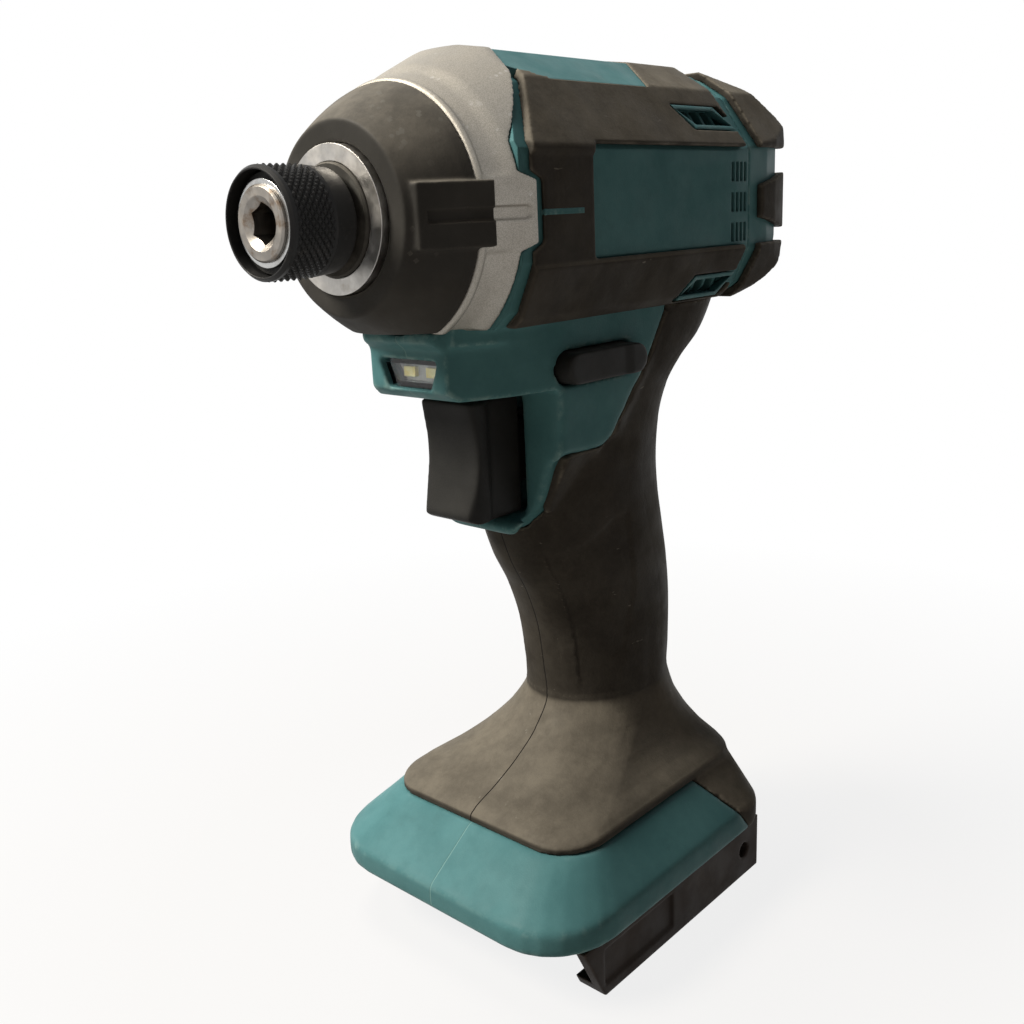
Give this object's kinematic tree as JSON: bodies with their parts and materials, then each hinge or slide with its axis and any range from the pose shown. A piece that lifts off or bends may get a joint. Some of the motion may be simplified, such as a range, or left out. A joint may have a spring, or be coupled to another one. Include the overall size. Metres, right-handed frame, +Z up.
{
  "type": "cordless impact driver",
  "caption": "Pistol-grip impact driver without its battery: hex bit socket with pull sleeve, hammer drive, motor, trigger, direction lever, lamp and rail foot.",
  "frame": {"origin": "on the ground under the middle of the tool, level with the underside of the battery rails", "axes": "+X along the drive axis towards the bit, +Y to the left of the tool, +Z up"},
  "size_m": [0.137, 0.0774, 0.197],
  "materials": {
    "teal_plastic": "fine grained moulded plastic",
    "soft_overmould": "matt soft overmould with scuffs and dust",
    "silver_paint": "metallic paint with fine flakes",
    "black_rubber": "matt rubber",
    "case_metal": "turned, with scratches",
    "bronze": "sintered bronze",
    "worn_steel": "ground steel with brown stains",
    "bright_steel": "polished",
    "black_finish": "black oxide",
    "spring_steel": "drawn wire",
    "gear_steel": "sintered and greased",
    "laminations": "stacked or rolled sheet",
    "copper": "enamelled or bare copper alloy",
    "magnet": "sintered ferrite",
    "carbon": "carbon block",
    "black_plastic": "fine grained moulded plastic",
    "circuit_board": "coated board",
    "lamp": "yellow lamp chips",
    "clear_lens": "clear moulded lens",
    "lead_insulation": "insulated wire"
  },
  "bodies": {
    "housing": {"housing_left": "teal_plastic", "housing_right": "teal_plastic", "grip_left": "soft_overmould", "grip_right": "soft_overmould", "rear_cover": "teal_plastic", "rear_bumper": "soft_overmould", "hammer_case": "case_metal", "case_cover": "silver_paint", "nose_bumper": "black_rubber", "anvil_bush": "bronze", "ring_gear": "gear_steel", "bearing_plate": "case_metal", "spindle_bearing_outer": "bright_steel", "front_bearing_outer": "bright_steel", "rear_bearing_outer": "bright_steel", "motor_yoke": "laminations", "magnets": "magnet", "brush_holder": "black_plastic", "brushes": "carbon", "brush_springs": "spring_steel", "switch_body": "black_plastic", "trigger_spring": "spring_steel", "led_board": "circuit_board", "leds": "lamp", "led_lens": "clear_lens", "rail_left": "black_plastic", "rail_right": "black_plastic", "terminal_block": "black_plastic", "terminal_blades": "copper", "motor_leads": "lead_insulation", "battery_leads": "lead_insulation", "housing_screws": "black_finish", "cover_screws": "black_finish"},
    "rotor": {"motor_shaft": "worn_steel", "pinion": "gear_steel", "armature_core": "laminations", "armature_windings": "copper", "commutator": "copper", "cooling_fan": "black_plastic", "front_bearing_inner": "bright_steel", "rear_bearing_inner": "bright_steel"},
    "spindle": {"spindle": "worn_steel", "planet_pins": "worn_steel", "cam_balls": "bright_steel", "spring_washer": "worn_steel", "spindle_bearing_inner": "bright_steel", "hammer_spring": "spring_steel"},
    "planet_1": {"planet_gear_1": "gear_steel"},
    "planet_2": {"planet_gear_2": "gear_steel"},
    "hammer": {"hammer": "worn_steel"},
    "anvil": {"anvil": "worn_steel", "bit_balls": "bright_steel", "sleeve_washer": "bright_steel", "snap_ring": "bright_steel", "sleeve_spring": "spring_steel"},
    "sleeve": {"bit_sleeve": "black_finish"},
    "trigger": {"trigger": "black_plastic"},
    "direction_lever": {"direction_lever": "black_plastic"}
  },
  "joints": [
    {"name": "motor_spin", "type": "hinge", "parent": "housing", "child": "rotor", "pos_m": [0, 0, 0.165], "axis": [1, 0, 0], "continuous": true},
    {"name": "spindle_spin", "type": "hinge", "parent": "housing", "child": "spindle", "pos_m": [0, 0, 0.165], "axis": [1, 0, 0], "continuous": true},
    {"name": "planet_1_spin", "type": "hinge", "parent": "spindle", "child": "planet_1", "pos_m": [0, 0.01125, 0.165], "axis": [1, 0, 0], "continuous": true},
    {"name": "planet_2_spin", "type": "hinge", "parent": "spindle", "child": "planet_2", "pos_m": [0, -0.01125, 0.165], "axis": [1, 0, 0], "continuous": true},
    {"name": "hammer_slide", "type": "slide", "parent": "spindle", "child": "hammer", "axis": [1, 0, 0], "range_m": [-0.008, 0], "stiffness_N_per_m": 6000, "springref_m": 0.004, "deforming": ["hammer_spring"]},
    {"name": "anvil_spin", "type": "hinge", "parent": "housing", "child": "anvil", "pos_m": [0, 0, 0.165], "axis": [1, 0, 0], "continuous": true},
    {"name": "sleeve_slide", "type": "slide", "parent": "anvil", "child": "sleeve", "axis": [1, 0, 0], "range_m": [0, 0.0045], "stiffness_N_per_m": 900, "springref_m": -0.002, "deforming": ["sleeve_spring"]},
    {"name": "trigger_pull", "type": "slide", "parent": "housing", "child": "trigger", "axis": [-1, 0, 0], "range_m": [0, 0.0065], "stiffness_N_per_m": 500, "springref_m": -0.004, "deforming": ["trigger_spring"]},
    {"name": "direction_slide", "type": "slide", "parent": "housing", "child": "direction_lever", "axis": [0, 1, 0], "range_m": [-0.003, 0.003]}
  ],
  "couplings": [
    {"joint": "spindle_spin", "follows": "motor_spin", "ratio": 0.15},
    {"joint": "planet_1_spin", "follows": "motor_spin", "ratio": -0.36429},
    {"joint": "planet_2_spin", "follows": "motor_spin", "ratio": -0.36429},
    {"joint": "anvil_spin", "follows": "motor_spin", "ratio": 0.15}
  ]
}
